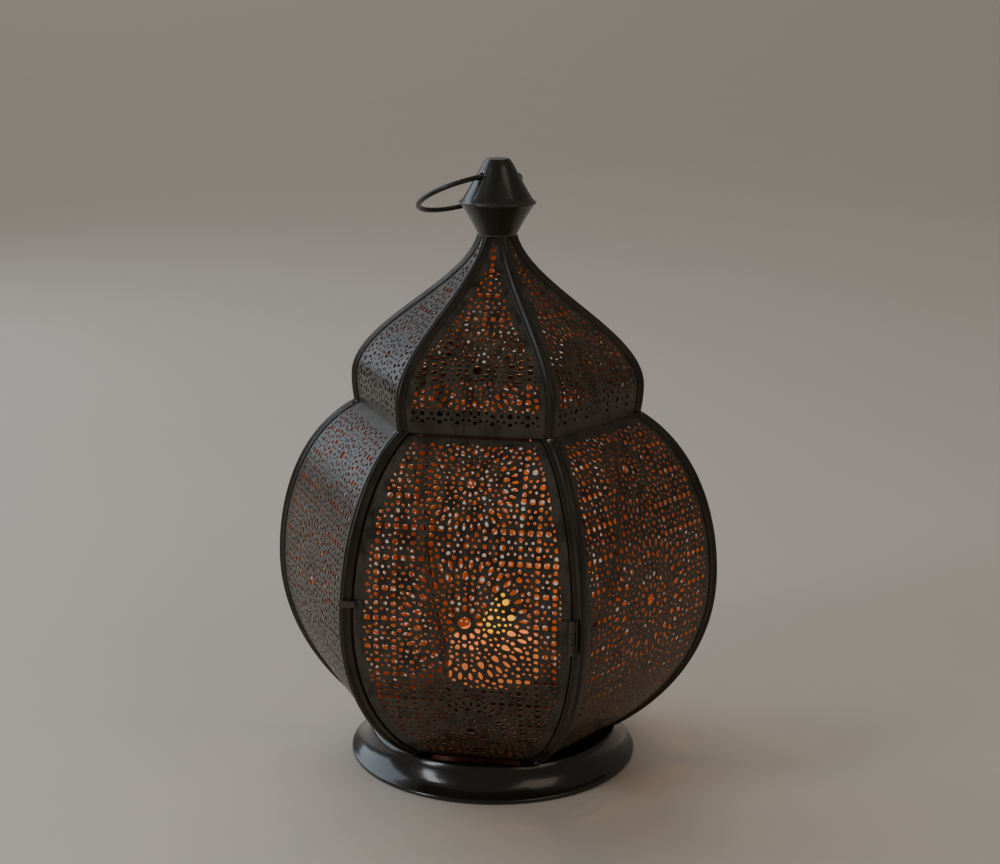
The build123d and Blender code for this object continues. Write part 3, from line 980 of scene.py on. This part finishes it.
def add_finial():
    """Two thin cones crimped at the rim; the upper one is pierced for the ring."""
    low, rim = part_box("finial_lower_cone")[0].z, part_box("finial_lower_cone")[1].z
    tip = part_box("finial_upper_cone")[1].z
    lip_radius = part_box("finial_upper_cone")[1].x
    neck_radius = 9.6 * MM
    rim_radius = 18.1 * MM
    tip_radius = 6.0 * MM
    skin = 0.8 * MM
    slant = (rim_radius - tip_radius) / (tip - rim)
    lower = [(neck_radius, low)]
    steps = 14
    for step in range(1, steps):
        share = step / steps
        bow = 0.35 * MM * sin(pi * share)
        lower.append((neck_radius + (rim_radius - neck_radius) * share - bow, low + (rim - low) * share))
    lower += [(rim_radius, rim - 0.25 * MM), (rim_radius, rim), (rim_radius - skin, rim)]
    lower += [(neck_radius - skin * 0.6, low + 1.0 * MM), (neck_radius - skin, low), (neck_radius, low)]
    piece = new_piece("finial_lower_shell", turned(lower, 128, "finial lower"), "lantern", gloss)
    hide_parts("finial_lower_cone")

    lip_height = 0.8 * MM
    upper = [(rim_radius - skin, rim), (lip_radius - 0.2 * MM, rim)]
    upper += arc((lip_radius - lip_height / 2, rim + lip_height / 2), lip_height / 2, -60, 75, 6)
    for step in range(1, steps):
        share = step / steps
        height = rim + lip_height * 1.1 + (tip - 1.0 * MM - rim - lip_height * 1.1) * share
        bow = 0.3 * MM * sin(pi * share)
        upper.append((rim_radius - (height - rim) * slant - bow, height))
    upper += arc((tip_radius - 1.0 * MM, tip - 0.9 * MM), 0.9 * MM, 25, 90, 5)
    upper += [(tip_radius * 0.5, tip - 0.12 * MM), (0, tip - 0.2 * MM)]
    upper += [(0, tip - skin), (tip_radius - skin * 1.6, tip - skin)]
    upper.append(upper[0])
    shell = turned(upper, 160, "finial upper")
    piece = new_piece("finial_upper_shell", shell, "lantern", gloss)
    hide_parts("finial_upper_cone")
    pierce(piece, Vector(ring_joint["pos_m"]), Vector(ring_joint["axis"]), 2.2 * MM)
    add_burrs(slant, rim_radius - (ring_joint["pos_m"][2] - rim) * slant)


def pierce(piece, centre, axis, radius):
    """Drill a round hole right through a piece."""
    made = bmesh.new()
    bmesh.ops.create_cone(made, segments=40, radius1=radius, radius2=radius, depth=0.08, cap_ends=True)
    drill_mesh = bpy.data.meshes.new("drill")
    made.to_mesh(drill_mesh)
    made.free()
    drill = stand("drill", drill_mesh)
    drill.rotation_mode = "QUATERNION"
    drill.rotation_quaternion = axis.to_track_quat("Z", "Y")
    drill.location = centre
    cut = piece.modifiers.new("hole", "BOOLEAN")
    cut.operation = "DIFFERENCE"
    cut.solver = "EXACT"
    cut.object = drill
    depsgraph = bpy.context.evaluated_depsgraph_get()
    result = bpy.data.meshes.new_from_object(piece.evaluated_get(depsgraph))
    piece.modifiers.clear()
    piece.data = result
    bpy.data.objects.remove(drill)
    soften(result)


def add_burrs(slant, wall_radius):
    """The bright raised edge that the punch left round each ring hole."""
    burr_radius = 2.35 * MM
    thickness = 0.22 * MM
    for name, way in (("near", -1), ("far", 1)):
        outward = way * Vector(ring_joint["axis"])
        normal = (outward + Vector((0, 0, slant))).normalized()
        along = outward.cross(Vector((0, 0, 1))).normalized()
        up = along.cross(normal).normalized() * -1
        centre = Vector(ring_joint["pos_m"]) + outward * wall_radius
        sections = []
        for step in range(36):
            turn = 2 * pi * step / 36
            radial = along * cos(turn) + up * sin(turn)
            sink = burr_radius**2 * cos(turn) ** 2 / (2 * wall_radius)
            point = centre + radial * burr_radius - outward * sink
            raised = thickness * (1 + 0.3 * sin(turn * 2))
            sections.append(round_section(point, radial, normal, raised, 8))
        mesh = swept(sections, "burr", closed=True)
        soften(mesh, 80)
        piece = new_piece(f"ring_hole_burr_{name}", mesh, "lantern", tin)


def add_ring():
    """The wire ring, bent round by hand so not quite even, through both finial holes."""
    wire_radius = 1.25 * MM
    centre_radius = 25.8 * MM
    hub = Vector(ring_joint["pos_m"])
    chord = Vector(ring_joint["axis"]).normalized()
    low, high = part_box("hanging_ring")
    middle = (low + high) / 2
    outward = (middle - hub) - chord * (middle - hub).dot(chord)
    outward.normalize()
    normal = chord.cross(outward)
    sections = []
    around = 144
    for step in range(around):
        turn = 2 * pi * step / around
        radial = chord * cos(turn) + outward * sin(turn)
        even = 1 - 0.004 * (1 + sin(2 * turn + 0.6)) * abs(sin(turn))
        point = middle + radial * centre_radius * even
        sections.append(round_section(point, radial, normal, wire_radius, 16))
    mesh = swept(sections, "ring", closed=True)
    soften(mesh, 60)
    piece = new_piece("wire_ring", mesh, "ring", wire)
    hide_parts("hanging_ring")


# ---- Candle ----

wick_low, wick_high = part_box("candle_wick")
flame_radius = 9.0 * MM
flame_foot = wick_high.z - 4.6 * MM
flame_tip = wick_high.z + 22.0 * MM
flame_lean = 3.2 * MM


def add_wax():
    """The candle, slightly uneven, with its melted pool."""
    low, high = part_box("candle_wax")
    radius = high.x
    pool = 17.6 * MM
    pool_floor = high.z - 2.3 * MM
    profile = [(0, low.z), (radius - 0.6 * MM, low.z), (radius, low.z + 0.6 * MM)]
    side_height = high.z - low.z - 1.5 * MM
    steps = 16
    for step in range(1, steps):
        share = step / steps
        hollow = 0.25 * MM * sin(3 * pi * share) ** 2
        profile.append((radius - hollow, low.z + side_height * share))
    profile += arc((radius - 1.6 * MM, high.z - 1.6 * MM), 1.6 * MM, 10, 90, 6)
    profile += [(pool + 1.2 * MM, high.z - 0.2 * MM), (pool + 0.3 * MM, high.z - 0.9 * MM)]
    profile += [(pool, pool_floor + 0.4 * MM), (pool - 0.8 * MM, pool_floor), (pool * 0.5, pool_floor)]
    profile += [(1.2 * MM, pool_floor + 0.2 * MM), (0, pool_floor + 0.3 * MM)]
    wax = turned(profile, 96, "wax", 0.012, 3)
    piece = new_piece("wax_pillar", wax, "candle", candle_wax())
    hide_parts("candle_wax")


def add_wick():
    """The wick, twisted and bent over at its tip."""
    sections = []
    height = wick_high.z - wick_low.z
    for step in range(25):
        share = step / 24
        lean = 1.6 * MM * max(0.0, share - 0.62) ** 1.5 / 0.38**1.5
        thick = (0.78 if share < 0.92 else 0.5) * MM
        centre = Vector((lean, 0, wick_low.z + height * share - (0.25 * lean)))
        twist = share * 9
        sections.append(
            [
                centre
                + Vector((cos(a + twist), sin(a + twist), 0)) * thick * (1 if k % 2 else 0.8)
                for k, a in ((k, 2 * pi * k / 10) for k in range(10))
            ]
        )
    wick = swept(sections, "wick")
    soften(wick, 50)
    piece = new_piece("bent_wick", wick, "candle", charred_wick())
    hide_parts("candle_wick")


def add_flame():
    """The flame, which leans a little and throws no shadow."""
    profile = [(0, flame_foot)]
    for step in range(1, 24):
        share = step / 24
        width = flame_radius * sin(pi * share**0.62) ** 0.9 * (1 - 0.3 * share)
        profile.append((width, flame_foot + (flame_tip - flame_foot) * share))
    profile.append((0, flame_tip))
    flame = turned(profile, 40, "flame")
    for point in flame.vertices:
        share = (point.co.z - flame_foot) / (flame_tip - flame_foot)
        point.co.x += 1.2 * MM + flame_lean * share
    piece = new_piece("flame", flame, "candle", flame_light())
    piece.visible_shadow = False


def add_cup():
    """The cup that holds the candle: a flat brim below and a rolled edge above."""
    cup_low, cup_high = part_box("candle_cup")
    brim = cup_high.x
    outer = 24.4 * MM
    skin = 0.8 * MM
    rolled = arc((outer - skin / 2, cup_high.z - skin / 2), skin / 2, 0, 180, 8)
    base = cup_low.z
    floor = base + skin - 0.01 * MM
    profile = [(0, base), (brim - 0.3 * MM, base), (brim, base + 0.3 * MM)]
    profile += [(brim, base + skin - 0.2 * MM), (brim - 0.2 * MM, base + skin)]
    profile += [(outer + 1.0 * MM, base + skin), (outer + 0.2 * MM, base + 1.2 * MM)]
    profile += [(outer, base + 2 * MM), *rolled, (outer - skin, base + skin + 0.6 * MM)]
    profile += [(outer - skin - 0.6 * MM, floor), (0, floor)]
    piece = new_piece("cup_shell", turned(profile, 96, "cup"), "lantern", enamel)
    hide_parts("candle_cup")


# ---- Small parts ----


def add_solder():
    """Blobs of solder where ribs meet the eaves plate and the foot."""
    chance = random.Random(7)
    eaves = body_radius(body_top - 0.5 * MM)
    base = body_radius(foot_top + 0.8 * MM)
    places = []
    for place, turn in corner_turns.items():
        places.append((f"{place}_eaves", turn, eaves + 0.8 * MM, body_top - 0.3 * MM, 1.5 * MM))
        places.append((f"{place}_foot", turn, base + 1.0 * MM, foot_top + 0.8 * MM, 1.5 * MM))
    for name, turn, radius, height, size in places:
        made = bmesh.new()
        bmesh.ops.create_icosphere(made, subdivisions=3, radius=size)
        shift = Vector((chance.uniform(0, 9), chance.uniform(0, 9), chance.uniform(0, 9)))
        side = chance.uniform(-0.9, 0.9) * MM
        for vertex in made.verts:
            lump = 1 + 0.45 * noise.noise(vertex.co / size * 1.3 + shift)
            vertex.co = Vector((vertex.co.x * 1.15, vertex.co.y * 0.42, vertex.co.z * 0.75)) * lump
        mesh = bpy.data.meshes.new(f"solder {name}")
        made.transform(Matrix.Rotation(turn, 4, "Z") @ Matrix.Translation((side, -radius, height)))
        made.to_mesh(mesh)
        made.free()
        soften(mesh, 80)
        piece = new_piece(f"solder_{name}", mesh, "lantern", tin)


def finish_cad_pieces():
    """Paint the pieces whose own shape is kept."""
    finishes = {
        "floor_plate": enamel,
        "foot_rivets": steel,
        "cup_rivets": steel,
        "door_stop_left": enamel,
        "door_stop_right": enamel,
        "hinge_leaf_frame": enamel,
        "hinge_leaf_door": enamel,
        "hinge_pin": steel,
        "door_catch": enamel,
        "eaves_plate": enamel,
        "neck_plate": gloss,
    }
    for node, material in finishes.items():
        for slot in bpy.data.objects[node].material_slots:
            slot.material = material


# ---- Camera, floor and lights ----


def add_camera():
    """The camera stands a little right of the door's middle and looks slightly down."""
    bearing, pitch, yaw, roll = radians(9.0), radians(13.98), radians(0.144), radians(0.54)
    reach, height = 0.8631, 0.3809
    look = Vector((sin(yaw) * cos(pitch), cos(yaw) * cos(pitch), -sin(pitch)))
    right = Vector((cos(yaw), -sin(yaw), 0))
    up = right.cross(look)
    rolled_right = right * cos(roll) + up * sin(roll)
    rolled_up = up * cos(roll) - right * sin(roll)
    turn = Matrix.Rotation(bearing, 3, "Z")
    axes = Matrix((turn @ rolled_right, turn @ rolled_up, turn @ -look)).transposed()
    lens = bpy.data.cameras.new("camera")
    lens.sensor_width = 36.0
    lens.lens = 64.7
    lens.clip_end = 900
    camera = stand("camera", lens)
    camera.matrix_world = Matrix.Translation(turn @ Vector((0, -reach, height))) @ axes.to_4x4()
    bpy.context.scene.camera = camera


def add_light(name, place, target, size, power, colour):
    """A soft rectangular light that faces a target."""
    lamp = bpy.data.lights.new(name, "AREA")
    lamp.shape = "RECTANGLE"
    lamp.size, lamp.size_y = size
    lamp.energy = power
    lamp.color = colour
    stood = stand(name, lamp)
    stood.location = place
    stood.rotation_mode = "QUATERNION"
    stood.rotation_quaternion = (Vector(target) - Vector(place)).to_track_quat("-Z", "Y")


def add_studio():
    """A pale floor that runs to the horizon and soft light, cool from the left and warm from the right."""
    made = bmesh.new()
    bmesh.ops.create_grid(made, x_segments=8, y_segments=8, size=400)
    mesh = bpy.data.meshes.new("floor")
    made.to_mesh(mesh)
    made.free()
    mesh.materials.append(pale_floor())
    stand("floor", mesh)
    target = (0, 0, 0.14)
    add_light("window", (-1.35, 0.5, 0.8), target, (1.3, 1.2), 9.5, (0.72, 0.85, 1.0))
    add_light("side_window", (-1.05, -0.95, 0.75), target, (0.28, 0.9), 5.5, (0.9, 0.95, 1.0))
    add_light("room", (1.2, -0.9, 1.3), target, (1.0, 1.0), 3.4, (1.0, 0.83, 0.65))
    daylight = bpy.data.lights.new("daylight", "SUN")
    daylight.energy = 0.6
    daylight.angle = radians(50)
    daylight.color = (1.0, 0.98, 0.96)
    stand("daylight", daylight).rotation_euler = (radians(-38), radians(-18), 0)
    candle_light = bpy.data.lights.new("candle_light", "POINT")
    candle_light.color = (1.0, 0.42, 0.11)
    candle_light.energy = 0.15
    candle_light.shadow_soft_size = 7 * MM
    flame_middle = (flame_foot + flame_tip) / 2
    glow = stand("candle_light", candle_light)
    glow.location = (2 * MM, 2 * MM, flame_middle + 6 * MM)
    glow.parent = bpy.data.objects["flame"]
    world = bpy.data.worlds.new("studio")
    world.use_nodes = True
    world.node_tree.nodes["Background"].inputs["Color"].default_value = rgba(0.83, 0.77, 0.69)
    world.node_tree.nodes["Background"].inputs["Strength"].default_value = 0.19
    bpy.context.scene.world = world


add_sheets()
add_ribs()
add_foot()
add_finial()
add_ring()
add_wax()
add_wick()
add_flame()
add_cup()
add_solder()
finish_cad_pieces()
add_camera()
add_studio()
